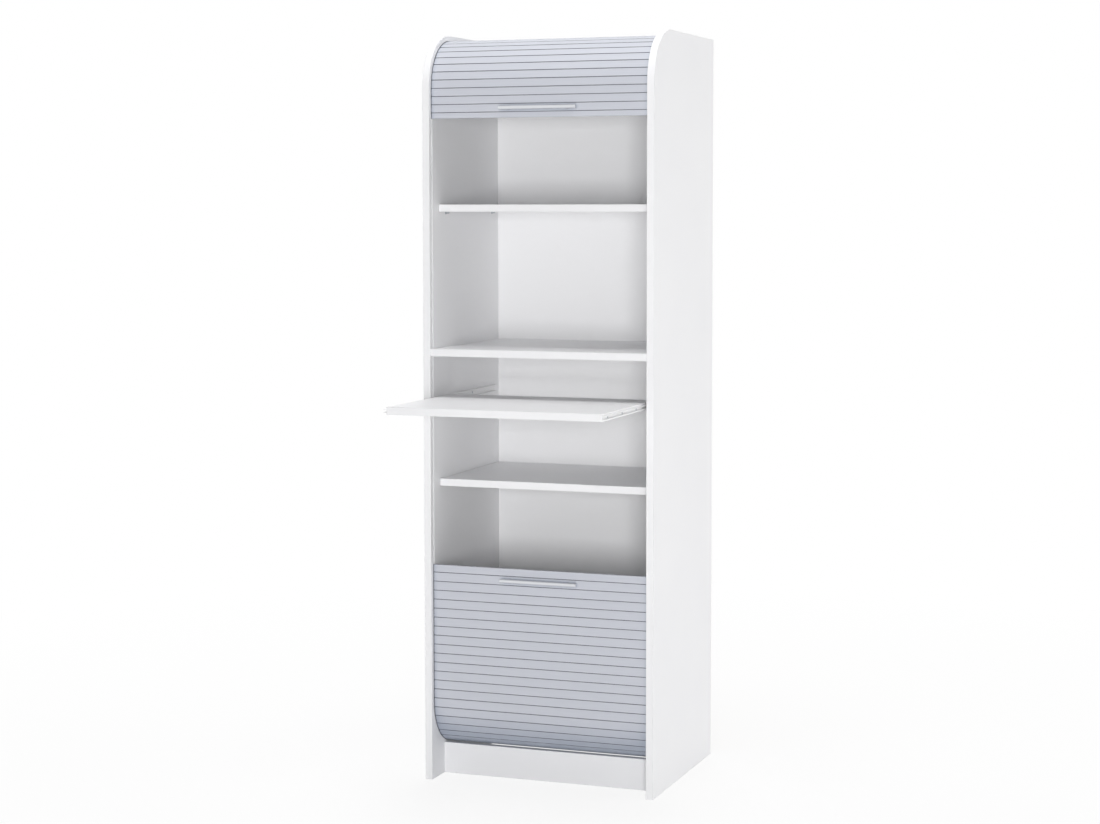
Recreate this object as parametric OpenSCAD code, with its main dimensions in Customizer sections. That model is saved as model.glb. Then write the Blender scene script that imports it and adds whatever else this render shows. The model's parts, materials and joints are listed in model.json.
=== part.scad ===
// Tall kitchen cabinet for a microwave oven, with two tambour shutters and a pull-out board.
// Two white side panels carry milled tracks.  Each shutter is a chain of hollow plastic slats
// that hook into one another and run up or down the front, round a wide front turn, along the
// top or the bottom and down or up behind the inner back.

/* [Carcass] */
// Width over the side panels
cabinet_w = 600; // [520:5:760]
// Depth from the front edge of the side panels to their rear edge
cabinet_d = 500; // [460:5:600]
// Height of the side panels
cabinet_h = 1865; // [1800:5:2000]
// Thickness of the melamine boards
board_t = 18; // [16:1:20]
// Radius of the rounded front corner at the top of the side panels
corner_r = 135; // [120:1:150]
// Thickness of the hardboard back and inner back
hardboard_t = 3.5; // [3:0.5:5]
// Distance from the rear edge of the side panels to the back panel's rear face
back_inset = 4.5; // [3:0.5:8]
// Width of the rear step in the side panels past the depth of the track grooves
rebate_margin = 4; // [3.5:0.5:6.5]
// Depth of the grooves in the side panels that take the inner back
inner_back_groove = 6; // [4:0.5:8]

/* [Shelves] */
// Height of the fixed shelf's top face
fixed_shelf_z = 1086; // [1050:1:1130]
// Distance of the fixed shelf behind the front edge of the side panels
fixed_shelf_setback = 2; // [0:0.5:6]
// Height of the upper shelf's top face
upper_shelf_z = 1443.5; // [1400:0.5:1500]
// Height of the lower shelf's top face
lower_shelf_z = 756; // [700:1:800]
// Distance of the loose shelves behind the front edge of the side panels
shelf_setback = 58; // [45:1:80]
// Gap at each end of a loose shelf
shelf_end_gap = 1; // [0.5:0.1:2]
// Diameter of the shelf pins
shelf_pin_d = 5; // [4:0.5:6]
// Depth of a shelf pin in the side panel
shelf_pin_in = 9; // [7:0.5:11]
// Length of a shelf pin under the shelf
shelf_pin_out = 9; // [7:0.5:12]
// Distance of the shelf pins from the front and rear edges of a loose shelf
shelf_pin_inset = 45; // [30:1:80]

/* [Plinth] */
// Height of the plinth board
plinth_h = 78; // [66:1:90]
// Distance of the plinth behind the front edge of the side panels
plinth_setback = 80; // [66:1:84]

/* [Pull-out board] */
// Distance of the pull-out board's top face below the fixed shelf's top face
tray_drop = 120; // [86:1:156]
// Depth of the pull-out board
tray_d = 400; // [340:5:410]
// Distance that the board is drawn out in front of the side panels
tray_out = 292; // [200:1:300]
// Distance of the closed board behind the front edge of the side panels
tray_closed_setback = 25; // [24:1:34]
// Room for the slide at each end of the pull-out board
slide_t = 13; // [12.6:0.1:15]
// Height of the slide's outer channel
slide_h = 17; // [16:0.5:20]
// Distance of the slide channels behind the front edge of the closed board
slide_inset = 2; // [1:0.5:4]
// Distance of the inner channels' rear ends from the board's rear edge
slide_rear_inset = 2; // [0:0.5:68]
// Gap between the outer channels' rear ends and the inner back
slide_back_gap = 37.5; // [20:0.5:104]
// Sheet thickness of the slide channels
slide_wall = 1.2; // [1:0.1:1.4]
// Gap between the outer channel's arms and the end of the board
slide_outer_gap = 3.6; // [3:0.1:4]
// Gap between the inner channel's arms and the side panel
slide_inner_gap = 4.4; // [4.2:0.1:5]
// Diameter of the slide's balls
ball_d = 2.5; // [2:0.1:2.8]
// Clearance between a ball and the channels above and below it
ball_clear = 0.2; // [0.1:0.05:0.4]
// Balls in each row of a cage
ball_count = 5; // [3:1:6]
// Distance of a ball cage from the channels' ends, the board drawn out
cage_inset = 3.5; // [1.5:0.5:9.5]

/* [Shutters] */
// Distance of the slats' faces behind the front edge of the side panels
slat_recess = 13; // [10:0.5:16]
// Distance of the upper shutter's lower edge below the top of the side panels
upper_edge_drop = 210; // [185:1:265]
// Pitch of the upper shutter's slats
upper_pitch = 20; // [18:0.1:22]
// Height of the upper shutter's end rail
upper_rail_w = 14; // [12:0.5:18]
// Number of slats in the upper shutter
upper_slats = 42; // [38:1:46]
// Height of the lower shutter's upper edge
lower_edge_z = 544.5; // [480:0.5:600]
// Pitch of the lower shutter's slats
lower_pitch = 22.8; // [20:0.1:23]
// Height of the lower shutter's end rail
lower_rail_w = 19; // [14:0.5:24]
// Number of slats in the lower shutter
lower_slats = 47; // [42:1:50]
// Radius of the track's rear turns
rear_turn_r = 50; // [48:1:60]
// Distance of the rear run's hinge line from the rear edge of the side panels
rear_run_inset = 18; // [17:0.5:24]
// Gap between neighbouring slats' faces
slat_gap = 1.2; // [0.5:0.1:1.6]
// Radius of the rounded edges of a slat's face
slat_edge_r = 0.6; // [0.3:0.05:0.7]
// Distance from a slat's hinge line to its face
slat_face = 3.4; // [3.2:0.1:3.8]
// Wall thickness of a slat
slat_wall = 0.8; // [0.6:0.1:0.9]
// Outer radius of the barrel along one edge of a slat
barrel_r = 2.3; // [2.2:0.05:2.4]
// Radius of the bead along the other edge of a slat
bead_r = 1.1; // [0.9:0.05:1.2]
// Clearance between a bead and the barrel round it
bead_clear = 0.3; // [0.2:0.05:0.4]
// Width of the track grooves in the side panels
track_w = 8; // [7.8:0.1:9]
// Depth of the track grooves in the side panels
track_depth = 8; // [6:0.5:10]
// Gap between a slat's end and the bottom of its groove
slat_end_gap = 1; // [0.5:0.1:2]

/* [Handles] */
// Length of a handle
handle_l = 200; // [120:5:300]
// Height of a handle's bar
handle_h = 10; // [8:0.5:12]
// Depth of a handle's bar
handle_d = 7; // [6:0.5:9]
// Gap between a handle's bar and the slat behind it
handle_gap = 4; // [3:0.5:5]
// Diameter of a handle's feet
handle_foot_d = 7; // [6:0.5:8]
// Distance of a handle's feet from its ends
handle_foot_inset = 24; // [15:1:40]
// Diameter of the handle screws
handle_screw_d = 3; // [2.5:0.5:4]

/* [Fittings] */
// Diameter of the cam nuts
cam_d = 15; // [12:1:16]
// Depth of the cam nuts
cam_h = 12.5; // [11:0.5:13]
// Distance from a board's end to the middle of its cam nuts
cam_back = 34; // [24:1:40]
// Diameter of the cam bolts
cam_bolt_d = 5; // [4:0.5:6]
// Diameter of the wooden dowels
dowel_d = 8; // [6:1:8]
// Length of a dowel in the side panel
dowel_in = 10; // [8:1:12]
// Length of a dowel in the board's end
dowel_out = 22; // [16:1:26]
// Distance of the front cam nuts behind the front edge of the side panels
cam_y_front = 125; // [115:1:160]
// Distance of the rear cam nuts behind the front edge of the side panels
cam_y_rear = 400; // [360:1:410]
// Distance from a cam nut to the dowel beside it
dowel_step = 40; // [32:1:60]
// Spacing of the nails in the back panel
nail_step = 290; // [200:5:320]
// Diameter of the nails
nail_d = 1.6; // [1.4:0.1:2]
// Length of the nails
nail_l = 14; // [12:1:16]

/* [Hidden] */

// colours
white = "#f1f1f3";
hardboard_white = "#ededf0";
slat_grey = "#bfc2d0";
aluminium = "#c9cbd0";
zinc = "#a9adb2";
coated = "#e6e6e8";
beech = "#c9a877";
tan_plastic = "#8f8f94";

// arcs are drawn with enough sides to stay round on screen
$fn = 48;
turn_fn = 120;
small_fn = 24;

// clearances
fit = 0.1;        // round fittings in their holes
touch_gap = 0.25; // loose parts beside one another
sink = 1;         // how far a cutter passes the face that it cuts
bead_room = 0.3;  // round a barrel, in the slat before it
turn_clear = 2;   // between the lower shutter and the plinth
screw_head_t = 1;
merge = 0.1;      // overlap that joins two shapes of one piece
end_room = 1;     // past a dowel's or screw's end in its hole
tiny = 0.001;     // keeps a whole number of slats whole

// the carcass
inner_w = cabinet_w - 2 * board_t;
half_in = inner_w / 2;
origin_y = plinth_setback + board_t / 2;
back_y = cabinet_d - back_inset - hardboard_t;
rebate_w = track_depth + rebate_margin;  // the nails stand between the groove and its side
back_margin = 6;                     // back panel's top edge under the panels' top
back_floor_gap = 30;                 // back panel's lower edge over the floor

// the track: y is measured from the front edge, z from the floor
track_y = slat_recess + slat_face;
front_turn_r = corner_r - track_y;
rear_y = cabinet_d - rear_run_inset;
top_line_z = cabinet_h - track_y;
upper_edge_z = cabinet_h - upper_edge_drop;
upper_turn_z = cabinet_h - corner_r;
plinth_rear_y = plinth_setback + board_t;
lower_turn_z = plinth_h + sqrt(pow(front_turn_r + slat_face + turn_clear, 2)
                               - pow(corner_r - plinth_rear_y, 2));
bottom_line_z = lower_turn_z - front_turn_r;

// boards that lie inside the track
board_gap = 20;                      // hinge line to the top and bottom boards
inner_back_gap = 18;                 // rear hinge line to the inner back's rear face
inner_back_y = rear_y - inner_back_gap - hardboard_t;
turn_board_clear = 6;                // boards' front corners inside the front turn
board_front_y = corner_r - sqrt(pow(front_turn_r - turn_board_clear, 2)
                                - pow(front_turn_r - board_gap, 2));
top_board_z = top_line_z - board_gap;        // top face
bottom_board_z = bottom_line_z + board_gap;  // underside
loose_shelf_w = inner_w - 2 * shelf_end_gap;
shelf_back_gap = 1;
loose_shelf_d = inner_back_y - shelf_setback - shelf_back_gap;

// slats
slat_len = inner_w + 2 * (track_depth - slat_end_gap);
barrel_bore_r = bead_r + bead_clear;
neck_t = 0.9;
barrel_mouth = [160, 232];           // angles between which a barrel is open
cell_margin = 1.1;                   // hollow's end walls beside barrel and bead
lip_t = slat_face - barrel_r - bead_room;      // a slat's wall over the next one's barrel
edge_r = min(slat_edge_r, lip_t - merge);      // an edge can't be rounder than that wall
upper_straight = upper_turn_z - upper_edge_z;
lower_straight = lower_edge_z - lower_turn_z;
top_run = rear_y - rear_turn_r - track_y - front_turn_r;

// screws' middles on the first slat, for a handle centred on the shutter
handle_screw_xs = [handle_foot_inset - handle_l / 2, handle_l / 2 - handle_foot_inset];

// pull-out board and slides
tray_z = fixed_shelf_z - tray_drop;
tray_w = inner_w - 2 * slide_t;
tray_mid_z = tray_z - board_t / 2;
slide_y = tray_closed_setback + slide_inset;             // outer channels' front ends
slide_outer_l = inner_back_y - slide_back_gap - slide_y;
slide_inner_l = tray_d - slide_inset - slide_rear_inset;
slide_outer_d = slide_t - slide_outer_gap;
slide_inner_d = slide_t - slide_inner_gap;
slide_inner_h = slide_h - 2 * slide_wall - 2 * ball_d - 4 * ball_clear;
cage_y = slide_y + cage_inset;       // front end of the cages, board drawn out
cage_len = tray_d - tray_out - slide_rear_inset - cage_inset - cage_y;
cage_t = 0.6;
cage_gap = 0.35;                     // cage's web to the screw heads
cage_x = slide_wall + screw_head_t + cage_gap;
slide_screw_d = 3;
slide_screw_l = 12;
slide_screw_ys = [35, 140, 245];     // from the front end of a channel
ball_mid = (slide_inner_h / 2 + slide_h / 2 - slide_wall) / 2;
ball_x = (slide_outer_d + slide_inner_gap) / 2;          // row of balls from the panel

// fittings
plinth_dowel_z = [22, 56];
shelf_pin_ys = [shelf_setback + shelf_pin_inset,
                shelf_setback + loose_shelf_d - shelf_pin_inset];
cam_ys = [cam_y_front, cam_y_rear];
dowel_ys = [cam_y_front + dowel_step, cam_y_rear - dowel_step];
cam_bolt_in = 11;
cam_bolt_head = [6.4, 3];            // diameter and length
cam_floor_room = 0.5;                // under a cam nut in its hole
cam_bolt_neck = 3;                   // head's middle short of the cam nut's middle
nail_head_d = 3.2;
nail_head_t = 1;
nail_side_gap = 0.3;                 // head to the side of the rear step
nail_x = half_in + rebate_w - nail_side_gap - nail_head_d / 2;  // outside the slats' groove
nail_low = 60;
nail_high = 40;                      // short of the panels' top
nail_zs = [for (z = [nail_low : nail_step : cabinet_h - nail_high]) z];
inner_nail_xs = [-200, 0, 200];

// fixed boards: [height of the middle, which face the cam nuts are let into]
fixed_boards = [[top_board_z - board_t / 2, 1],
                [fixed_shelf_z - board_t / 2, -1],
                [bottom_board_z + board_t / 2, -1]];

// ---- placing ---------------------------------------------------------------

// puts a piece that is drawn from the front edge into the part's frame
module in_frame() {
    translate([0, -origin_y, 0]) children();
}

// stands an outline drawn in y and z up, and gives it a thickness along x
module along_x(t) {
    rotate([90, 0, 90]) linear_extrude(t) children();
}

// a rod along x that starts at x and is as long as l
module rod_x(x, y, z, d, l, sides = $fn) {
    translate([x, y, z]) rotate([0, 90, 0]) cylinder(d = d, h = l, $fn = sides);
}

// the left-hand piece, or its mirror image for the right
module hand(side) {
    if (side < 0) children();
    else mirror([1, 0, 0]) children();
}

module both_sides() {
    for (side = [-1, 1]) hand(side) children();
}

// a board lying level: x centred, from y0 to y1, top face at z
module level_board(w, y0, y1, z, t = board_t) {
    translate([-w / 2, y0, z - t]) cube([w, y1 - y0, t]);
}

// ---- track -----------------------------------------------------------------

// radius that makes chords of one pitch step evenly round a turn of radius r
function chord_r(r, pitch) = pitch / (2 * asin(pitch / 2 / r)) * 180 / PI;

// point [depth, distance from the shutter's free edge] at run s along the hinge line
function track_point(s, straight, pitch) =
    let (r1 = chord_r(front_turn_r, pitch), r2 = chord_r(rear_turn_r, pitch),
         s1 = straight + r1 * PI / 2, s2 = s1 + top_run, s3 = s2 + r2 * PI / 2,
         a1 = (s - straight) / r1 * 180 / PI, a2 = (s - s2) / r2 * 180 / PI)
    s < straight ? [track_y, s]
    : s < s1 ? [track_y + front_turn_r * (1 - cos(a1)), straight + front_turn_r * sin(a1)]
    : s < s2 ? [track_y + front_turn_r + s - s1, straight + front_turn_r]
    : s < s3 ? [rear_y - rear_turn_r + rear_turn_r * sin(a2),
                straight + front_turn_r - rear_turn_r * (1 - cos(a2))]
    : [rear_y, straight + front_turn_r - rear_turn_r - (s - s3)];

// region inside the closed hinge line, grown by o
module loop_region(o) {
    y0 = track_y - o;
    y1 = rear_y + o;
    z0 = bottom_line_z - o;
    z1 = top_line_z + o;
    rf = front_turn_r + o;
    rr = rear_turn_r + o;
    translate([y0 + rf, z0]) square([y1 - rr - y0 - rf, z1 - z0]);
    translate([y0, z0 + rf]) square([rf, z1 - z0 - 2 * rf]);
    translate([y1 - rr, z0 + rr]) square([rr, z1 - z0 - 2 * rr]);
    for (z = [z0 + rf, z1 - rf]) translate([y0 + rf, z]) circle(rf, $fn = turn_fn);
    for (z = [z0 + rr, z1 - rr]) translate([y1 - rr, z]) circle(rr, $fn = turn_fn);
}

// how far a shutter's tail reaches down or up the rear run, fully open
function tail_reach(slats, pitch, rail, straight) =
    track_point(rail + slats * pitch, straight, pitch)[1] - straight;

tail_room = 25;   // groove past a shutter's tail, fully open
upper_tail_z = upper_turn_z - upper_straight - tail_room
    + tail_reach(upper_slats, upper_pitch, upper_rail_w, upper_straight);
lower_tail_z = lower_turn_z + lower_straight + tail_room
    - tail_reach(lower_slats, lower_pitch, lower_rail_w, lower_straight);

// the milled groove's outline: the loop less the part of the rear run that no slat reaches
module track_outline() {
    difference() {
        loop_region(track_w / 2);
        loop_region(-track_w / 2);
        translate([rear_y - track_w, lower_tail_z])
            square([2 * track_w, upper_tail_z - lower_tail_z]);
    }
}

// ---- carcass ---------------------------------------------------------------

module panel_outline() {
    square([cabinet_d, cabinet_h - corner_r]);
    translate([corner_r, 0]) square([cabinet_d - corner_r, cabinet_h]);
    translate([corner_r, cabinet_h - corner_r]) circle(corner_r, $fn = turn_fn);
}

// the left panel, outer face at x = -cabinet_w / 2
module side_panel() {
    cut = track_depth + sink;
    difference() {
        translate([-cabinet_w / 2, 0, 0]) along_x(board_t) panel_outline();
        translate([-half_in - track_depth, 0, 0]) along_x(cut) track_outline();
        // groove for the inner back and step for the back panel
        translate([-half_in - inner_back_groove, inner_back_y - fit, bottom_board_z - fit])
            cube([inner_back_groove + sink, hardboard_t + 2 * fit,
                  top_board_z - bottom_board_z + 2 * fit]);
        translate([-half_in - rebate_w, back_y, -sink])
            cube([rebate_w + sink, cabinet_d, cabinet_h + 2 * sink]);
        // holes for cam bolts, dowels, shelf pins, slide screws and nails
        for (b = fixed_boards) {
            for (y = cam_ys)
                rod_x(-half_in - cam_bolt_in - fit, y, b[0], cam_bolt_d + 2 * fit,
                      cam_bolt_in + sink, small_fn);
            for (y = dowel_ys)
                rod_x(-half_in - dowel_in - fit, y, b[0], dowel_d + 2 * fit,
                      dowel_in + sink, small_fn);
        }
        for (z = plinth_dowel_z)
            rod_x(-half_in - dowel_in - fit, plinth_setback + board_t / 2, z,
                  dowel_d + 2 * fit, dowel_in + sink, small_fn);
        for (z = [upper_shelf_z, lower_shelf_z])
            for (y = shelf_pin_ys)
                rod_x(-half_in - shelf_pin_in - fit, y, z - board_t - shelf_pin_d / 2,
                      shelf_pin_d + 2 * fit, shelf_pin_in + sink, small_fn);
        for (y = slide_screw_ys)
            rod_x(-half_in - slide_screw_l, slide_y + y, tray_mid_z,
                  slide_screw_d + 2 * fit, slide_screw_l + sink, small_fn);
        for (z = nail_zs)
            translate([-nail_x, back_y + sink, z]) rotate([90, 0, 0])
                cylinder(d = nail_d + 2 * fit, h = nail_l + sink, $fn = small_fn);
    }
}

module left_side_panel() {
    color(white) in_frame() side_panel();
}

module right_side_panel() {
    color(white) in_frame() hand(1) side_panel();
}

// holes in the ends of a board for its bolts, cam nuts and dowels
module board_end_holes(z, face) {
    both_sides() {
        for (y = cam_ys) {
            rod_x(-half_in - sink, y, z, cam_bolt_head[0] + 4 * fit, cam_back + sink, small_fn);
            translate([-half_in + cam_back, y, z + face * (board_t / 2 + sink)])
                mirror([0, 0, face > 0 ? 1 : 0])
                    cylinder(d = cam_d + 2 * fit, h = cam_h + cam_floor_room + sink, $fn = small_fn);
        }
        for (y = dowel_ys)
            rod_x(-half_in - sink, y, z, dowel_d + 2 * fit, dowel_out + end_room + sink, small_fn);
    }
}

// holes in a board's rear edge for the nails of the inner back
module board_rear_holes(z) {
    for (x = inner_nail_xs)
        translate([x, inner_back_y + sink, z]) rotate([90, 0, 0])
            cylinder(d = nail_d + 2 * fit, h = nail_l + sink, $fn = small_fn);
}

module top_board() {
    z = fixed_boards[0][0];
    color(white) in_frame() difference() {
        level_board(inner_w, board_front_y, inner_back_y, top_board_z);
        board_end_holes(z, fixed_boards[0][1]);
        board_rear_holes(z);
    }
}

module fixed_shelf() {
    z = fixed_boards[1][0];
    color(white) in_frame() difference() {
        level_board(inner_w, fixed_shelf_setback, inner_back_y, fixed_shelf_z);
        board_end_holes(z, fixed_boards[1][1]);
        board_rear_holes(z);
    }
}

module bottom_board() {
    z = fixed_boards[2][0];
    color(white) in_frame() difference() {
        level_board(inner_w, board_front_y, inner_back_y, bottom_board_z + board_t);
        board_end_holes(z, fixed_boards[2][1]);
        board_rear_holes(z);
    }
}

module plinth_board() {
    color(white) in_frame() difference() {
        level_board(inner_w, plinth_setback, plinth_rear_y, plinth_h, plinth_h);
        both_sides() for (z = plinth_dowel_z)
            rod_x(-half_in - sink, plinth_setback + board_t / 2, z, dowel_d + 2 * fit,
                  dowel_out + end_room + sink, small_fn);
    }
}

module inner_back() {
    w = inner_w + 2 * (inner_back_groove - touch_gap);
    color(hardboard_white) in_frame() difference() {
        translate([-w / 2, inner_back_y, bottom_board_z])
            cube([w, hardboard_t, top_board_z - bottom_board_z]);
        for (b = fixed_boards) for (x = inner_nail_xs)
            translate([x, inner_back_y + hardboard_t + sink, b[0]]) rotate([90, 0, 0])
                cylinder(d = nail_d + 2 * fit, h = hardboard_t + 2 * sink, $fn = small_fn);
    }
}

module back_panel() {
    w = inner_w + 2 * (rebate_w - touch_gap);
    color(hardboard_white) in_frame() difference() {
        translate([-w / 2, back_y, back_floor_gap])
            cube([w, hardboard_t, cabinet_h - back_margin - back_floor_gap]);
        both_sides() for (z = nail_zs)
            translate([-nail_x, back_y + hardboard_t + sink, z]) rotate([90, 0, 0])
                cylinder(d = nail_d + 2 * fit, h = hardboard_t + 2 * sink, $fn = small_fn);
    }
}

module upper_shelf() {
    color(white) in_frame()
        level_board(loose_shelf_w, shelf_setback, shelf_setback + loose_shelf_d, upper_shelf_z);
}

module lower_shelf() {
    color(white) in_frame()
        level_board(loose_shelf_w, shelf_setback, shelf_setback + loose_shelf_d, lower_shelf_z);
}

// four pegs with a collar against the side panel, under a shelf whose top face is at z
module shelf_pins(z) {
    pin_z = z - board_t - shelf_pin_d / 2;
    collar_t = 1.5;
    collar_d = shelf_pin_d + 2 * collar_t;
    both_sides() for (y = shelf_pin_ys) {
        rod_x(-half_in - shelf_pin_in, y, pin_z, shelf_pin_d, shelf_pin_in + shelf_pin_out,
              small_fn);
        // the collar's top is cut level with the peg, so that the shelf lies flat on it
        difference() {
            rod_x(-half_in, y, pin_z, collar_d, collar_t, small_fn);
            translate([-half_in - sink, y - shelf_pin_d, pin_z + shelf_pin_d / 2])
                cube([collar_t + 2 * sink, 2 * shelf_pin_d, shelf_pin_d]);
        }
    }
}

module upper_shelf_pins() {
    color(zinc) in_frame() shelf_pins(upper_shelf_z);
}

module lower_shelf_pins() {
    color(zinc) in_frame() shelf_pins(lower_shelf_z);
}

// ---- pull-out board --------------------------------------------------------

module pull_out_board() {
    color(white) in_frame() difference() {
        level_board(tray_w, -tray_out, tray_d - tray_out, tray_z);
        both_sides() for (y = slide_screw_ys)
            rod_x(-tray_w / 2 - sink, y - tray_out + slide_inset, tray_mid_z, slide_screw_d + 2 * fit,
                  slide_screw_l + 2 * sink, small_fn);
    }
}

// a channel's section in x and z: open to the right, its web at x = 0
module channel_outline(depth, height, wall) {
    difference() {
        translate([0, -height / 2]) square([depth, height]);
        translate([wall, -height / 2 + wall]) square([depth, height - 2 * wall]);
    }
}

// carries a section drawn in x and z along y, from y0, for a length l
module along_y(y0, l) {
    translate([0, y0 + l, 0]) rotate([90, 0, 0]) linear_extrude(l) children();
}

module slide_outer() {
    difference() {
        translate([-half_in, 0, tray_mid_z]) along_y(slide_y, slide_outer_l)
            channel_outline(slide_outer_d, slide_h, slide_wall);
        for (y = slide_screw_ys)
            rod_x(-half_in - sink, slide_y + y, tray_mid_z, slide_screw_d + 2 * fit,
                  slide_wall + 2 * sink, small_fn);
    }
}

module slide_inner() {
    difference() {
        translate([-half_in + slide_t, 0, tray_mid_z]) mirror([1, 0, 0])
            along_y(slide_inset - tray_out, slide_inner_l)
                channel_outline(slide_inner_d, slide_inner_h, slide_wall);
        for (y = slide_screw_ys)
            rod_x(-tray_w / 2 - slide_wall - sink, y - tray_out + slide_inset, tray_mid_z,
                  slide_screw_d + 2 * fit, slide_wall + 2 * sink, small_fn);
    }
}

module left_slide_outer() {
    color(coated) in_frame() slide_outer();
}

module right_slide_outer() {
    color(coated) in_frame() hand(1) slide_outer();
}

module left_slide_inner() {
    color(coated) in_frame() slide_inner();
}

module right_slide_inner() {
    color(coated) in_frame() hand(1) slide_inner();
}

// y of ball number i
function ball_y(i) = cage_y + cage_len * (i + 0.5) / ball_count;

// a thin channel between the two slide channels, with a round hole for each ball
module slide_ball_cages() {
    arm = ball_x + ball_d / 2 + cage_t - cage_x;
    color(tan_plastic) in_frame() both_sides() difference() {
        translate([-half_in + cage_x, 0, tray_mid_z]) along_y(cage_y, cage_len)
            channel_outline(arm, 2 * ball_mid + cage_t, cage_t);
        for (i = [0 : ball_count - 1])
            translate([-half_in + ball_x, ball_y(i), tray_mid_z - ball_mid - sink])
                cylinder(d = ball_d + 2 * fit, h = 2 * (ball_mid + sink), $fn = small_fn);
    }
}

module slide_balls() {
    color(zinc) in_frame() both_sides() for (i = [0 : ball_count - 1], up = [-1, 1])
        translate([-half_in + ball_x, ball_y(i), tray_mid_z + up * ball_mid])
            sphere(d = ball_d, $fn = small_fn);
}

// a flat-headed screw along -x, the head's underside at x = 0
module slide_screw() {
    rod_x(end_room - slide_screw_l, 0, 0, slide_screw_d,
          slide_screw_l - end_room + screw_head_t, small_fn);
    rod_x(0, 0, 0, slide_screw_d * 2, screw_head_t, small_fn);
}

module slide_outer_screws() {
    color(zinc) in_frame() both_sides() for (y = slide_screw_ys)
        translate([-half_in + slide_wall, slide_y + y, tray_mid_z]) slide_screw();
}

module slide_inner_screws() {
    color(zinc) in_frame() both_sides() for (y = slide_screw_ys)
        translate([-tray_w / 2 - slide_wall, y - tray_out + slide_inset, tray_mid_z])
            mirror([1, 0, 0]) slide_screw();
}

// ---- shutters --------------------------------------------------------------

// plate from x0 to x1 and from y0 up to a slat's face, with both edges of the face rounded
module face_plate(x0, x1, y0) {
    translate([x0, y0]) square([x1 - x0, slat_face - edge_r - y0]);
    translate([x0 + edge_r, y0]) square([x1 - x0 - 2 * edge_r, slat_face - y0]);
    for (x = [x0 + edge_r, x1 - edge_r])
        translate([x, slat_face - edge_r]) circle(edge_r, $fn = small_fn);
}

// section of a slat: x runs from the hinge with the slat before to the hinge with the next,
// y points out of the cabinet.  The barrel at x = 0 holds the bead of the slat before.
module slat_outline(pitch) {
    difference() {
        union() {
            face_plate(slat_gap / 2, pitch - slat_gap / 2, -neck_t / 2);
            circle(barrel_r, $fn = small_fn);
        }
        circle(barrel_bore_r, $fn = small_fn);
        barrel_mouth_cut();
        translate([pitch, 0]) circle(barrel_r + bead_room, $fn = small_fn);
        translate([barrel_r + cell_margin, neck_t / 2 - merge])
            square([pitch - 2 * barrel_r - bead_room - 2 * cell_margin,
                    slat_face - slat_wall - neck_t / 2 + merge]);
    }
    bead_outline(pitch);
}

// wedge that opens a barrel towards the slat before it
module barrel_mouth_cut() {
    reach = 2 * barrel_r;
    polygon([[0, 0],
             [reach * cos(barrel_mouth[0]), reach * sin(barrel_mouth[0])],
             [-reach, 0],
             [reach * cos(barrel_mouth[1]), reach * sin(barrel_mouth[1])]]);
}

// bead and the neck that joins it to its slat
module bead_outline(pitch) {
    neck_l = barrel_r + bead_room + cell_margin / 2;
    translate([pitch, 0]) circle(bead_r, $fn = small_fn);
    translate([pitch - neck_l, -neck_t / 2]) square([neck_l, neck_t]);
}

// section of the rail at a shutter's free edge: solid, rounded outside, a bead on its far side
module rail_outline(w) {
    nose = 1.5;
    difference() {
        union() {
            face_plate(nose - edge_r, w - slat_gap / 2, -barrel_r);
            translate([0, -barrel_r]) square([w / 2, slat_face + barrel_r - nose]);
            translate([nose, slat_face - nose]) circle(nose, $fn = small_fn);
        }
        translate([w, 0]) circle(barrel_r + bead_room, $fn = small_fn);
        translate([w - barrel_r, -2 * barrel_r]) square([2 * barrel_r, 2 * barrel_r - neck_t]);
    }
    bead_outline(w);
}

// carries a section along x and turns it to run a away from straight up, seen on the hinge line
module lay_slat(point, a) {
    translate([0, point[0], point[1]]) rotate([-a, 0, 0]) rotate([0, -90, 180])
        linear_extrude(slat_len, center = true) children();
}

// slat number i of a shutter, drawn with its free edge at z = 0 and the turn above it
module slat(i, pitch, rail, straight) {
    h0 = track_point(rail + i * pitch, straight, pitch);
    h1 = track_point(rail + (i + 1) * pitch, straight, pitch);
    lay_slat(h0, atan2(h1[0] - h0[0], h1[1] - h0[1])) slat_outline(pitch);
}

module end_rail(rail) {
    lay_slat([track_y, 0], 0) rail_outline(rail);
}

// slats that stand in the straight front run, with the handle's holes in the first
module front_slats(count, pitch, rail, straight) {
    difference() {
        for (i = [0 : count - 1]) slat(i, pitch, rail, straight);
        for (x = handle_screw_xs) at_handle(x, pitch, rail)
            cylinder(d = handle_screw_d + 2 * fit, h = 4 * slat_face, center = true,
                     $fn = small_fn);
    }
}

// puts a piece drawn up the z axis on the first slat's hinge line, pointing out of the front
module at_handle(x, pitch, rail) {
    translate([x, track_y, rail + pitch / 2]) rotate([90, 0, 0]) children();
}

// how many slats stand wholly in the front run, and up to where the turn reaches
function front_count(straight, pitch, rail) = floor((straight - rail) / pitch + tiny);
function turn_end(straight, pitch, rail) =
    ceil((straight + chord_r(front_turn_r, pitch) * PI / 2 - rail) / pitch);

// a bar with a rounded front, square ends and two round feet, over the first slat
module handle(pitch, rail) {
    bar_y = track_y - slat_face - handle_gap - handle_d;
    nose_r = handle_h / 2;
    mid_z = rail + pitch / 2;
    translate([-handle_l / 2, 0, mid_z]) along_x(handle_l) {
        intersection() {
            translate([bar_y + nose_r, 0]) circle(nose_r);
            translate([bar_y, -nose_r]) square([nose_r, handle_h]);
        }
        translate([bar_y + nose_r - merge, -nose_r])
            square([handle_d - nose_r + merge, handle_h]);
    }
    for (x = handle_screw_xs) at_handle(x, pitch, rail) difference() {
        translate([0, 0, slat_face]) cylinder(d = handle_foot_d, h = handle_gap + merge);
        cylinder(d = handle_screw_d + 2 * fit, h = slat_face + handle_gap, $fn = small_fn);
    }
}

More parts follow.
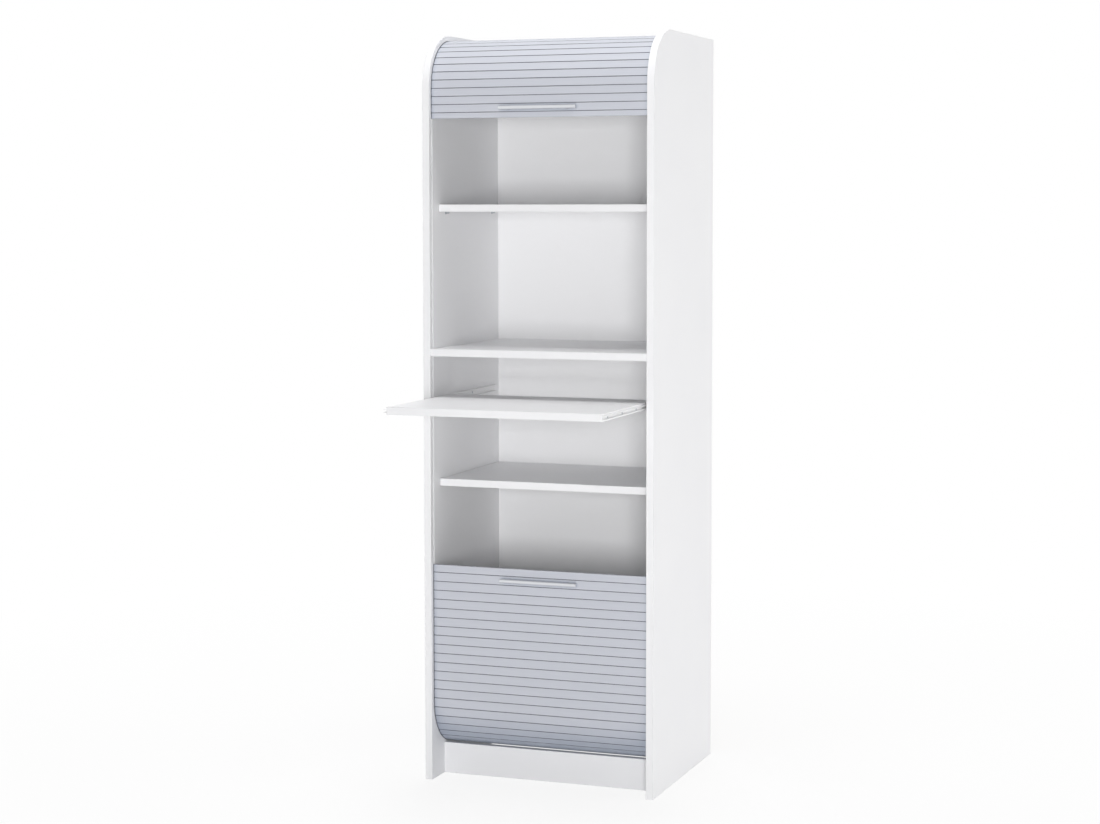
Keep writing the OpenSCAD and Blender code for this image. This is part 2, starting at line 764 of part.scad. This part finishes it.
// screws from behind the first slat into the handle's feet
module handle_screws(pitch, rail) {
    head_z = -neck_t / 2 - screw_head_t;
    for (x = handle_screw_xs) at_handle(x, pitch, rail) {
        translate([0, 0, head_z]) cylinder(d = 2 * handle_screw_d, h = screw_head_t);
        translate([0, 0, head_z])
            cylinder(d = handle_screw_d, h = slat_face + handle_gap - head_z - end_room,
                     $fn = small_fn);
    }
}

// a shutter drawn with its free edge at z = 0, put in its place
module upper_shutter() {
    in_frame() translate([0, 0, upper_edge_z]) children();
}

module lower_shutter() {
    in_frame() translate([0, 0, lower_edge_z]) mirror([0, 0, 1]) children();
}

module upper_end_rail() {
    color(slat_grey) upper_shutter() end_rail(upper_rail_w);
}

module upper_front_slats() {
    color(slat_grey) upper_shutter()
        front_slats(front_count(upper_straight, upper_pitch, upper_rail_w), upper_pitch,
                    upper_rail_w, upper_straight);
}

module upper_turn_slats() {
    first = front_count(upper_straight, upper_pitch, upper_rail_w);
    last = turn_end(upper_straight, upper_pitch, upper_rail_w) - 1;
    color(slat_grey) upper_shutter() for (i = [first : last])
        slat(i, upper_pitch, upper_rail_w, upper_straight);
}

module upper_stored_slats() {
    first = turn_end(upper_straight, upper_pitch, upper_rail_w);
    color(slat_grey) upper_shutter() for (i = [first : upper_slats - 1])
        slat(i, upper_pitch, upper_rail_w, upper_straight);
}

module upper_handle() {
    color(aluminium) upper_shutter() handle(upper_pitch, upper_rail_w);
}

module upper_handle_screws() {
    color(zinc) upper_shutter() handle_screws(upper_pitch, upper_rail_w);
}

module lower_end_rail() {
    color(slat_grey) lower_shutter() end_rail(lower_rail_w);
}

module lower_front_slats() {
    color(slat_grey) lower_shutter()
        front_slats(front_count(lower_straight, lower_pitch, lower_rail_w), lower_pitch,
                    lower_rail_w, lower_straight);
}

module lower_turn_slats() {
    first = front_count(lower_straight, lower_pitch, lower_rail_w);
    last = turn_end(lower_straight, lower_pitch, lower_rail_w) - 1;
    color(slat_grey) lower_shutter() for (i = [first : last])
        slat(i, lower_pitch, lower_rail_w, lower_straight);
}

module lower_stored_slats() {
    first = turn_end(lower_straight, lower_pitch, lower_rail_w);
    color(slat_grey) lower_shutter() for (i = [first : lower_slats - 1])
        slat(i, lower_pitch, lower_rail_w, lower_straight);
}

module lower_handle() {
    color(aluminium) lower_shutter() handle(lower_pitch, lower_rail_w);
}

module lower_handle_screws() {
    color(zinc) lower_shutter() handle_screws(lower_pitch, lower_rail_w);
}

// ---- fittings --------------------------------------------------------------

// a round nut with a cross slot, let into a board's face, and a way in for the bolt's head
module cam_nuts() {
    slot_w = 2;
    slot_t = 1;
    color(zinc) in_frame() both_sides() for (b = fixed_boards) for (y = cam_ys)
        translate([-half_in + cam_back, y, b[0] + b[1] * board_t / 2])
            mirror([0, 0, b[1] > 0 ? 1 : 0]) difference() {
                cylinder(d = cam_d, h = cam_h);
                translate([0, 0, board_t / 2]) rotate([0, -90, 0])
                    cylinder(d = cam_bolt_head[0] + 4 * fit, h = cam_d, $fn = small_fn);
                for (a = [0, 90]) rotate([0, 0, a])
                    translate([-cam_d / 4, -slot_w / 2, -sink])
                        cube([cam_d / 2, slot_w, sink + slot_t]);
            }
}

// threaded into the side panel, with a head that the cam nut grips
module cam_bolts() {
    l = cam_bolt_in + cam_back - cam_bolt_neck;
    color(zinc) in_frame() both_sides() for (b = fixed_boards) for (y = cam_ys) {
        rod_x(-half_in - cam_bolt_in, y, b[0], cam_bolt_d, l, small_fn);
        rod_x(-half_in - cam_bolt_in + l - cam_bolt_head[1], y, b[0], cam_bolt_head[0],
              cam_bolt_head[1], small_fn);
    }
}

module dowels() {
    color(beech) in_frame() both_sides() {
        for (b = fixed_boards) for (y = dowel_ys)
            rod_x(-half_in - dowel_in, y, b[0], dowel_d, dowel_in + dowel_out, small_fn);
        for (z = plinth_dowel_z)
            rod_x(-half_in - dowel_in, plinth_setback + board_t / 2, z, dowel_d,
                  dowel_in + dowel_out, small_fn);
    }
}

// a nail driven forwards, the underside of its head at y = 0
module nail() {
    rotate([90, 0, 0]) cylinder(d = nail_d, h = nail_l, $fn = small_fn);
    rotate([-90, 0, 0]) cylinder(d = nail_head_d, h = nail_head_t, $fn = small_fn);
}

module back_nails() {
    color(zinc) in_frame() both_sides() for (z = nail_zs)
        translate([-nail_x, back_y + hardboard_t, z]) nail();
}

module inner_back_nails() {
    color(zinc) in_frame() for (b = fixed_boards) for (x = inner_nail_xs)
        translate([x, inner_back_y + hardboard_t, b[0]]) nail();
}

left_side_panel();
right_side_panel();
top_board();
fixed_shelf();
bottom_board();
plinth_board();
inner_back();
back_panel();
upper_shelf();
lower_shelf();
upper_shelf_pins();
lower_shelf_pins();
pull_out_board();
left_slide_outer();
right_slide_outer();
left_slide_inner();
right_slide_inner();
slide_ball_cages();
slide_balls();
slide_outer_screws();
slide_inner_screws();
upper_end_rail();
upper_front_slats();
upper_turn_slats();
upper_stored_slats();
upper_handle();
upper_handle_screws();
lower_end_rail();
lower_front_slats();
lower_turn_slats();
lower_stored_slats();
lower_handle();
lower_handle_screws();
cam_nuts();
cam_bolts();
dowels();
back_nails();
inner_back_nails();
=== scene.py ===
# %% [markdown]
# # A microwave cabinet with two roll shutters
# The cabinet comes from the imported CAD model, which is loaded first and never moved.
# Blender adds what the solids lack: finishes, light, and the part of each shutter
# that comes out of its store when the shutter closes.

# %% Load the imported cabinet
import json
import math

import bpy
import numpy as np
from mathutils import Matrix, Vector


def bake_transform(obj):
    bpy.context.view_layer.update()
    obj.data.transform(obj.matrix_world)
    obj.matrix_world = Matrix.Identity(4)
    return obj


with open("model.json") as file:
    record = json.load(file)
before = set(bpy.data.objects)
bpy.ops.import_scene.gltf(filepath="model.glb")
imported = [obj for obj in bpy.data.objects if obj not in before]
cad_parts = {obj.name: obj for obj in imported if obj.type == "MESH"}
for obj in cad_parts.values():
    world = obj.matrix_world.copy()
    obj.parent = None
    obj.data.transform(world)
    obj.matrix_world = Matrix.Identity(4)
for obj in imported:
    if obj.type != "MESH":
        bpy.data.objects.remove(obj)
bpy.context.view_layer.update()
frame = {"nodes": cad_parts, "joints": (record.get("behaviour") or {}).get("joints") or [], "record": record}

MM = 0.001
FRONT = -89 * MM   # the side panels' front edges; depths below are measured from here

# %% [markdown]
# ## Camera
# The photograph was taken from the right with a level camera and a large lens shift,
# which keeps the uprights parallel. The shift stays when the camera walks round the
# object, and would cut the cabinet's top off there. So the camera here is tilted down
# and keeps only a small shift. Fitted again to every measured edge, that costs up to
# four pixels, at the floor and at the upper shutter.

# %% Place the camera
IMAGE_W, IMAGE_H = 1100, 824
SENSOR_MM = 36
FOCAL_PX, HORIZON_PX, SHIFT = 2268.29, 204.0, -0.035
YAW, ROLL = math.radians(20.329), math.radians(-0.077)
PITCH = math.atan((IMAGE_H / 2 + IMAGE_W * SHIFT - HORIZON_PX) / FOCAL_PX)
EYE = np.array([1949.2, -5166.2 - 89, 1444.5]) * MM   # its depth, too, from the front edges


def camera_axes(yaw, pitch, roll):
    """Right, up and forward: forward turns by yaw about Z, tips down by pitch, and the
    picture then rolls about it."""
    level = np.array([-math.sin(yaw), math.cos(yaw), 0])
    right = np.array([math.cos(yaw), math.sin(yaw), 0])
    rise = np.array([0, 0, 1.0])
    forward = level * math.cos(pitch) - rise * math.sin(pitch)
    up = rise * math.cos(pitch) + level * math.sin(pitch)
    return (right * math.cos(roll) + up * math.sin(roll),
            up * math.cos(roll) - right * math.sin(roll), forward)


right, up, forward = camera_axes(YAW, PITCH, ROLL)
camera = bpy.data.objects.new("camera", bpy.data.cameras.new("camera"))
bpy.context.scene.collection.objects.link(camera)
camera.data.sensor_width = SENSOR_MM
camera.data.lens = FOCAL_PX / IMAGE_W * SENSOR_MM
camera.data.shift_y = SHIFT
camera.data.clip_end = 100
turned = Matrix(np.column_stack([right, up, -forward]).tolist()).to_4x4()
camera.matrix_world = Matrix.Translation(EYE) @ turned
bpy.context.scene.camera = camera
print("lens", round(camera.data.lens, 2), "mm, tilt", round(math.degrees(PITCH), 2), "degrees")

# %% [markdown]
# ## Helpers for materials
# Colours are picked as sRGB hex values, the way a paint chart gives them, and one
# function turns them into the linear values that a shader counts with. A second one
# adds a node and wires it up, so that each material reads as a short list, and a third
# starts a material. A Mix node's sockets 6 and 7 are its two colours.

# %% Colour and node helpers
def linear(code):
    """Linear red, green and blue of a hex colour: c / 12.92 when c is at most 0.04045,
    and otherwise (c + 0.055) / 1.055 to the power 2.4."""
    c = np.array([int(code[i:i + 2], 16) for i in (1, 3, 5)]) / 255
    value = np.where(c <= 0.04045, c / 12.92, ((c + 0.055) / 1.055) ** 2.4)
    return (*value.tolist(), 1.0)


def add(tree, kind, links=(), inputs=(), **settings):
    """One node of a kind, with its settings, constant inputs and links into its inputs."""
    node = tree.nodes.new(kind)
    for name, value in settings.items():
        setattr(node, name, value)
    for name, value in dict(inputs).items():
        node.inputs[name].default_value = value
    for name, socket in dict(links).items():
        tree.links.new(socket, node.inputs[name])
    return node


def principled(name, **sockets):
    """A material of that name with one Principled shader, its sockets set as given."""
    material = bpy.data.materials.new(name)
    material.use_nodes = True
    shader = material.node_tree.nodes["Principled BSDF"]
    for socket, value in sockets.items():
        shader.inputs[socket.replace("_", " ")].default_value = value
    return material, material.node_tree, shader


print("mid grey #808080 is", round(linear("#808080")[0], 3), "in linear light")

# %% [markdown]
# ## White melamine
# Melamine-faced chipboard: printed paper soaked in resin and pressed against a steel
# plate, which leaves a pearl texture about half a millimetre apart, drawn here at
# 1.6 mm, coarser than real so that it shows. The eye gets a satin white with very soft
# reflections. The boards' arrises are edged with ABS strip, whose corners are broken
# to about a millimetre, and a Bevel node rounds the shading there without touching
# the mesh.

# %% Make the melamine
melamine, tree, shader = principled("white_melamine_board", Roughness=0.45, IOR=1.5)
where = add(tree, "ShaderNodeTexCoord")
pearl = add(tree, "ShaderNodeTexNoise", {"Vector": where.outputs["Object"]},
            {"Scale": 1 / (1.6 * MM), "Detail": 2.0, "Roughness": 0.5})
cloud = add(tree, "ShaderNodeTexNoise", {"Vector": where.outputs["Object"]},
            {"Scale": 1 / (220 * MM), "Detail": 1.0})
tone = add(tree, "ShaderNodeMix", {"Factor": cloud.outputs[0]}, data_type="RGBA")
tone.inputs[6].default_value = linear("#eaeaec")
tone.inputs[7].default_value = linear("#efeff0")
soft = add(tree, "ShaderNodeBevel", inputs={"Radius": 1.0 * MM}, samples=4)
bump = add(tree, "ShaderNodeBump", {"Height": pearl.outputs[0], "Normal": soft.outputs[0]},
           {"Strength": 0.12, "Distance": 0.05 * MM})
tree.links.new(tone.outputs[2], shader.inputs["Base Color"])
tree.links.new(bump.outputs[0], shader.inputs["Normal"])
print(melamine.name, len(tree.nodes), "nodes")

# %% [markdown]
# ## White hardboard
# The two backs are hardboard, 3.5 mm of pressed wood fibre, lacquered white on the
# side that faces the room. Makers leave the rear side bare to save lacquer, so the
# back panel is brown behind: fibres a few millimetres long, clotted into blotches six
# centimetres wide. Whatever lies less than 0.3 mm from the back panel's rear face is
# brown, by the object's own depth.

# %% Make the hardboard
BARE_FROM = 406.5 - 0.3   # depth, in the model's own frame, from which the board is bare

hardboard, tree, shader = principled("white_lacquered_hardboard", Roughness=0.5, IOR=1.48)
where = add(tree, "ShaderNodeTexCoord")
fibre = add(tree, "ShaderNodeTexNoise", {"Vector": where.outputs["Object"]},
            {"Scale": 1 / (4 * MM), "Detail": 4.0, "Roughness": 0.62})
mottle = add(tree, "ShaderNodeTexNoise", {"Vector": where.outputs["Object"]},
             {"Scale": 1 / (60 * MM), "Detail": 3.0})
blotch = add(tree, "ShaderNodeMath", {0: fibre.outputs[0], 1: mottle.outputs[0]},
             operation="MULTIPLY")
spread = add(tree, "ShaderNodeMapRange", {"Value": blotch.outputs[0]},
             {"From Min": 0.12, "From Max": 0.42})
brown = add(tree, "ShaderNodeMix", {"Factor": spread.outputs[0]}, data_type="RGBA")
brown.inputs[6].default_value = linear("#7d5c3f")
brown.inputs[7].default_value = linear("#92704d")
depth = add(tree, "ShaderNodeSeparateXYZ", {"Vector": where.outputs["Object"]})
bare = add(tree, "ShaderNodeMath", {0: depth.outputs[1]}, {1: BARE_FROM * MM},
           operation="GREATER_THAN")
coat = add(tree, "ShaderNodeMix", {"Factor": bare.outputs[0], 7: brown.outputs[2]},
           data_type="RGBA")
coat.inputs[6].default_value = linear("#f5f5f6")
bump = add(tree, "ShaderNodeBump", {"Height": fibre.outputs[0]},
           {"Strength": 0.15, "Distance": 0.1 * MM})
tree.links.new(coat.outputs[2], shader.inputs["Base Color"])
tree.links.new(bump.outputs[0], shader.inputs["Normal"])
print(hardboard.name, len(tree.nodes), "nodes")

# %% [markdown]
# ## Silver slats
# The shutters' slats are extruded PVC with a silver lacquer. Extrusion leaves faint
# lines along each slat. They are drawn here 90 mm long and a sixtieth of that apart,
# 1.5 mm, coarser than real so that they show. Metal flakes in the lacquer make it
# slightly metallic, and the slats mirror a little of the white room.
#
# The grooves between slats get a painted shade: an Ambient Occlusion node tells how
# open the space within 4 mm of each point is, and the colour goes from a near-black
# painted groove shade to the face by that. A second one looks 260 mm far and paints
# shade too: the lower turn bends down to the floor, and it is painted darker and bluer than the rest.

# %% Make the slats' lacquer
silver, tree, shader = principled("silver_lacquered_slat", Roughness=0.5, Metallic=0.06)
where = add(tree, "ShaderNodeTexCoord")
along = add(tree, "ShaderNodeMapping", {"Vector": where.outputs["Object"]},
            {"Scale": (1, 60, 60)})
lines = add(tree, "ShaderNodeTexNoise", {"Vector": along.outputs[0]},
            {"Scale": 1 / (90 * MM), "Detail": 3.0})
lacquer = add(tree, "ShaderNodeMix", {"Factor": lines.outputs[0]}, data_type="RGBA")
lacquer.inputs[6].default_value = linear("#bec1ca")
lacquer.inputs[7].default_value = linear("#c9cbd3")
# Painted shade: whatever faces the floor within 260 mm is mixed towards a darker blue-grey, #a0a7b5.
floor_shade_reach = add(tree, "ShaderNodeAmbientOcclusion", inputs={"Distance": 260 * MM}, samples=8)
floor_shade_share = add(tree, "ShaderNodeMapRange", {"Value": floor_shade_reach.outputs["AO"]},
          {"From Min": 0.35, "From Max": 0.85})
shade = add(tree, "ShaderNodeMix", {"Factor": floor_shade_share.outputs[0], 7: lacquer.outputs[2]},
            data_type="RGBA")
shade.inputs[6].default_value = linear("#a0a7b5")
# Painted shade: the grooves between slats are mixed towards near-black by how closed the space within 4 mm
# is.
space = add(tree, "ShaderNodeAmbientOcclusion", inputs={"Distance": 4 * MM}, samples=8)
groove_shade_share = add(tree, "ShaderNodeMapRange", {"Value": space.outputs["AO"]},
                 {"From Min": 0.5, "From Max": 0.97})
tone = add(tree, "ShaderNodeMix", {"Factor": groove_shade_share.outputs[0], 7: shade.outputs[2]},
           data_type="RGBA")
tone.inputs[6].default_value = linear("#24262c")
bump = add(tree, "ShaderNodeBump", {"Height": lines.outputs[0]},
           {"Strength": 0.2, "Distance": 0.05 * MM})
tree.links.new(tone.outputs[2], shader.inputs["Base Color"])
tree.links.new(bump.outputs[0], shader.inputs["Normal"])
print(silver.name, len(tree.nodes), "nodes")

# %% [markdown]
# ## Metals, beech and cage plastic
# The handles are anodised aluminium, brushed along their length. The fittings are
# zinc-plated steel, whose plating is slightly cloudy. The slides' channels are steel
# with a white powder coat, which keeps a soft orange peel. Dowels are beech, and the
# slides' ball cages are moulded acetal. The eye tells them apart by grain and shine.
# Each has a dark and a light colour, a stretch of the grain along X, Y and Z, the
# grain's length, a roughness and how metallic it is.

# %% Make the fittings' finishes
def streaked(name, dark, light, stretch, grain_mm, rough, metallic):
    """A finish whose colour varies by a noise stretched along the grain."""
    material, tree, shader = principled(name, Roughness=rough, Metallic=metallic)
    where = add(tree, "ShaderNodeTexCoord")
    along = add(tree, "ShaderNodeMapping", {"Vector": where.outputs["Object"]},
                {"Scale": stretch})
    grain = add(tree, "ShaderNodeTexNoise", {"Vector": along.outputs[0]},
                {"Scale": 1 / (grain_mm * MM), "Detail": 4.0})
    tone = add(tree, "ShaderNodeMix", {"Factor": grain.outputs[0]}, data_type="RGBA")
    tone.inputs[6].default_value = linear(dark)
    tone.inputs[7].default_value = linear(light)
    bump = add(tree, "ShaderNodeBump", {"Height": grain.outputs[0]},
               {"Strength": 0.15, "Distance": 0.03 * MM})
    tree.links.new(tone.outputs[2], shader.inputs["Base Color"])
    tree.links.new(bump.outputs[0], shader.inputs["Normal"])
    print(name, "grain", grain_mm, "mm")
    return material


EVEN = (1, 1, 1)
aluminium = streaked("anodised_brushed_aluminium", "#d3d5da", "#e5e6e9",
                     (1, 40, 40), 30, 0.32, 1.0)
zinc = streaked("zinc_plated_steel", "#bfc3c8", "#d5d8db", EVEN, 3, 0.36, 1.0)
powder = streaked("white_powder_coated_steel", "#ebebec", "#f0f0f1", EVEN, 1.5, 0.35, 0.0)
beech = streaked("beech_dowel", "#c29f6c", "#d8bb8c", (1, 12, 12), 12, 0.6, 0.0)
acetal = streaked("acetal_ball_cage", "#85858b", "#8f8f95", EVEN, 2, 0.5, 0.0)

# %% Put each finish on the nodes of its slot
FINISHES = {"white_melamine": melamine, "white_hardboard": hardboard, "slat_plastic": silver,
            "handle_aluminium": aluminium, "zinc_steel": zinc, "coated_steel": powder,
            "dowel_beech": beech, "cage_plastic": acetal}
for part in frame["record"]["subparts"]:
    mesh = frame["nodes"][part["node"]].data
    mesh.materials.clear()
    mesh.materials.append(FINISHES[part["material_slot"]])

# %% [markdown]
# ## The slats that come out of the store
# A real shutter pulls slat after slat out of its store as it closes. In the CAD model
# the end rail and the front slats slide as one rigid piece, so a gap would open between
# them and the turn. A sheet of slats is made for that gap. Open, the whole sheet is
# squeezed into the thickness of the first front slat, which hides it. Its rows are laid
# out so that, spread over the shutter's travel, its faces would be flush with the slats'
# at both ends to 0.3 mm; this script builds it open only and does not spread it.

# %% Solve for the squeezed heights
FACE = 13.0                              # depth of a slat's face; this and the rest in mm
GAP, ROUND_OFF, GROOVE = 1.2, 0.6, 1.1   # between faces; radius of their edges; how deep
WALL_LEAN = 0.1                          # how far a groove's wall leans on its way down
BEHIND, BACK = 0.3, 2.6                  # the sheet's faces and its back, behind FACE
EDGE_MARGIN = 0.1                        # from a front slat's rounded edge to the sheet
HALF_WIDTH = 281.3                       # the side panels stand 0.7 mm beyond
TABLE_ROWS = 20001
UPPER_SLATS, UPPER_PITCH = 28, 20.0      # slats in the sheet; height of a front slat
LOWER_SLATS, LOWER_PITCH = 17, 22.8


def groove_by(node, way):
    """Height of the middle of the groove between the turn and a run of front slats. The
    faces are found in the node's mesh, and the rounded edge and half a gap lie beyond
    the last of them."""
    points = frame["nodes"][node].data.vertices
    at = np.empty(len(points) * 3)
    points.foreach_get("co", at)
    at = (at.reshape(-1, 3) - np.array([0, FRONT, 0])) / MM
    faces = at[np.abs(at[:, 1] - FACE) < 0.01, 2]
    beyond = ROUND_OFF + GAP / 2
    return faces.max() + beyond if way < 0 else faces.min() - beyond


def squeezed(closed, travel, lead, band):
    """Distance from the turn at which a point starts, open, to end closed far from it:
    the answer u of u + travel * (3 t^2 - 2 t^3) = closed, with t = (u - lead) / band
    kept from 0 to 1, read off a finely tabulated curve, because the left side only
    rises."""
    u = np.linspace(0, lead + band, TABLE_ROWS)
    t = np.clip((u - lead) / band, 0, 1)
    return np.interp(closed, u + travel * (3 * t ** 2 - 2 * t ** 3), u)


def slat_rows(pitch, count):
    """Height and depth of each row of a run of slats, in millimetres. A slat is a flat
    face whose two edges are quarter circles of radius r: from the wall at angle a, the
    edge stands at r (1 - cos a) and lies r (1 - sin a) deep. A groove lies between
    neighbours, and the last one reaches under the edge of the slat that follows."""
    a = np.radians([0, 45, 90])
    rise, dip = ROUND_OFF * (1 - np.cos(a)), ROUND_OFF * (1 - np.sin(a))
    at = np.concatenate([[0, GAP / 2 - WALL_LEAN], GAP / 2 + rise,
                         pitch - GAP / 2 - rise[::-1], [pitch - GAP / 2 + WALL_LEAN]])
    deep = np.concatenate([[GROOVE, GROOVE], dip, dip[::-1], [GROOVE]])
    height = (np.arange(count)[:, None] * pitch + at[None, :]).ravel()
    last = [count * pitch, count * pitch + GAP]
    return np.append(height, last), np.append(np.tile(deep, count), [GROOVE, GROOVE])


def sheet_of_slats(name, turn_z, way, travel, count, first_slat):
    """A closed strip: each row has a left and a right point on the slats' face and two
    more behind it. Rows run from the turn to the first front slat, and lie open within
    that slat's height, clear of its two rounded edges."""
    height, deep = slat_rows(travel / count, count)
    lead = GAP / 2 + ROUND_OFF + EDGE_MARGIN
    band = first_slat - 2 * lead
    z = turn_z + way * squeezed(height, travel, lead, band)
    face, back = FACE + BEHIND + deep, np.full_like(deep, FACE + BACK)
    left, right = np.full_like(z, -HALF_WIDTH), np.full_like(z, HALF_WIDTH)
    ring = np.stack([np.stack([left, face, z], 1), np.stack([right, face, z], 1),
                     np.stack([right, back, z], 1), np.stack([left, back, z], 1)], 1)
    points = ring.reshape(-1, 3) * MM + np.array([0, FRONT, 0])
    n = len(z)
    a = np.arange(n - 1)[:, None] * 4
    k = np.arange(4)[None, :]
    after = (k + 1) % 4
    quads = np.stack([a + k, a + after, a + 4 + after, a + 4 + k], -1).reshape(-1, 4)
    ends = np.array([[3, 2, 1, 0], [4 * n - 4, 4 * n - 3, 4 * n - 2, 4 * n - 1]])
    faces = np.concatenate([quads, ends])
    if way < 0:
        faces = faces[:, ::-1]
    mesh = bpy.data.meshes.new(name)
    mesh.from_pydata(points.tolist(), [], faces.tolist())
    mesh.materials.append(silver)
    sheet = bpy.data.objects.new(name, mesh)
    bpy.context.scene.collection.objects.link(sheet)
    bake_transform(sheet)
    print(name, len(mesh.polygons), "faces,", count, "slats of", round(travel / count, 2), "mm")


# %% Make both sheets
travels = {j["child"]: j["range_m"][1] / MM for j in frame["joints"]}
upper_top = groove_by("upper_front_slats", -1)
lower_foot = groove_by("lower_front_slats", 1)
sheet_of_slats("upper_drawn_slats", upper_top, -1,
               travels["upper_shutter"], UPPER_SLATS, UPPER_PITCH)
sheet_of_slats("lower_drawn_slats", lower_foot, 1,
               travels["lower_shutter"], LOWER_SLATS, LOWER_PITCH)
print("turns end at", round(upper_top, 2), "and", round(lower_foot, 2), "mm")

# %% [markdown]
# ## Floor and backdrop
# The photograph is a cut-out on white. A white floor carries the cabinet's soft
# shadow. What a camera, a mirror or a glass sees of it is mixed with plain white by a
# light-path switch, so no extra light falls on the boards. Near the cabinet the
# share of white leaves room for the shadow, and from 3 m away it is all white, so that
# the floor ends without a line.

# %% Make the floor
HALF_FLOOR = 14.0   # metres


def seen_white(tree):
    """1 for a camera, a glossy or a transmission ray and 0 for any other: the largest of
    the three switches."""
    path = add(tree, "ShaderNodeLightPath")
    mirror = add(tree, "ShaderNodeMath", {0: path.outputs["Is Glossy Ray"],
                                          1: path.outputs["Is Transmission Ray"]},
                 operation="MAXIMUM")
    return add(tree, "ShaderNodeMath", {0: path.outputs["Is Camera Ray"],
                                        1: mirror.outputs[0]}, operation="MAXIMUM")


corners = np.array([[-1, -1, 0], [1, -1, 0], [1, 1, 0], [-1, 1, 0]]) * HALF_FLOOR
floor_mesh = bpy.data.meshes.new("floor")
floor_mesh.from_pydata(corners.tolist(), [], [[0, 1, 2, 3]])
floor = bpy.data.objects.new("floor", floor_mesh)
bpy.context.scene.collection.objects.link(floor)
paint, tree, shader = principled("white_floor", Roughness=0.8)
shader.inputs["Base Color"].default_value = linear("#f0f0f0")
where = add(tree, "ShaderNodeTexCoord")
away = add(tree, "ShaderNodeVectorMath", {0: where.outputs["Object"]}, operation="LENGTH")
share = add(tree, "ShaderNodeMapRange", {"Value": away.outputs["Value"]},
            {"From Min": 0.8, "From Max": 3.0, "To Min": 0.86, "To Max": 1.0})
part_white = add(tree, "ShaderNodeMath", {0: seen_white(tree).outputs[0],
                                          1: share.outputs[0]}, operation="MULTIPLY")
white = add(tree, "ShaderNodeEmission", inputs={"Color": (1, 1, 1, 1), "Strength": 1.0})
both = add(tree, "ShaderNodeMixShader", {"Fac": part_white.outputs[0], 1: shader.outputs[0],
                                         2: white.outputs[0]})
tree.links.new(both.outputs[0], tree.nodes["Material Output"].inputs["Surface"])
floor_mesh.materials.append(paint)
print("floor", 2 * HALF_FLOOR, "m wide")

# %% [markdown]
# ## Light
# The photograph's light is flat, and the cabinet's white inside is nearly as bright as
# its front. So the main lamp stands beside the camera, half-way up the cabinet: from
# there it reaches the back wall of every compartment. One overhead lights the boards'
# tops, one at each other side keeps those at the same level, and an even world fills in.
# The photograph shows no lamp's highlight on any surface, so the lamps light the boards
# without being mirrored in them, and what shines mirrors the white room.

# %% Light the room
world = bpy.data.worlds.new("studio")
bpy.context.scene.world = world
world.use_nodes = True
tree = world.node_tree
tree.nodes.clear()
room = add(tree, "ShaderNodeBackground", inputs={"Color": (1, 1, 1, 1), "Strength": 0.2})
white = add(tree, "ShaderNodeBackground", inputs={"Color": (1, 1, 1, 1), "Strength": 1.0})
both = add(tree, "ShaderNodeMixShader", {"Fac": seen_white(tree).outputs[0],
                                         1: room.outputs[0], 2: white.outputs[0]})
add(tree, "ShaderNodeOutputWorld", {"Surface": both.outputs[0]})


def softbox(name, at, aim, size, power):
    """A square area lamp at a point, turned to face another. Metres and watts."""
    lamp = bpy.data.objects.new(name, bpy.data.lights.new(name, "AREA"))
    lamp.data.shape = "SQUARE"
    lamp.data.size = size
    lamp.data.energy = power
    lamp.visible_camera = False
    lamp.visible_glossy = False
    bpy.context.scene.collection.objects.link(lamp)
    lamp.rotation_euler = (Vector(at) - Vector(aim)).to_track_quat("Z", "Y").to_euler()
    lamp.location = at
    print(name, power, "W")


softbox("front_softbox", (2.3, -6.4, 1.1), (0, 0.2, 1.0), 1.6, 250)
softbox("right_softbox", (5.2, 0.9, 1.7), (0.3, 0.2, 0.95), 3.0, 98)
softbox("left_softbox", (-5.2, 0.9, 1.7), (-0.3, 0.2, 0.95), 3.0, 98)
softbox("back_softbox", (-1.2, 5.0, 4.0), (0, 0.3, 0.95), 3.0, 150)
softbox("top_softbox", (0.1, -0.4, 4.6), (0.1, -0.4, 0), 1.4, 76)

# %% [markdown]
# ## Colour handling
# The Standard view shows each colour as it is written. Nothing that was added may
# stand out of the CAD model's.

# %% Set the view
bpy.context.scene.view_settings.view_transform = "Standard"
bpy.context.view_layer.update()
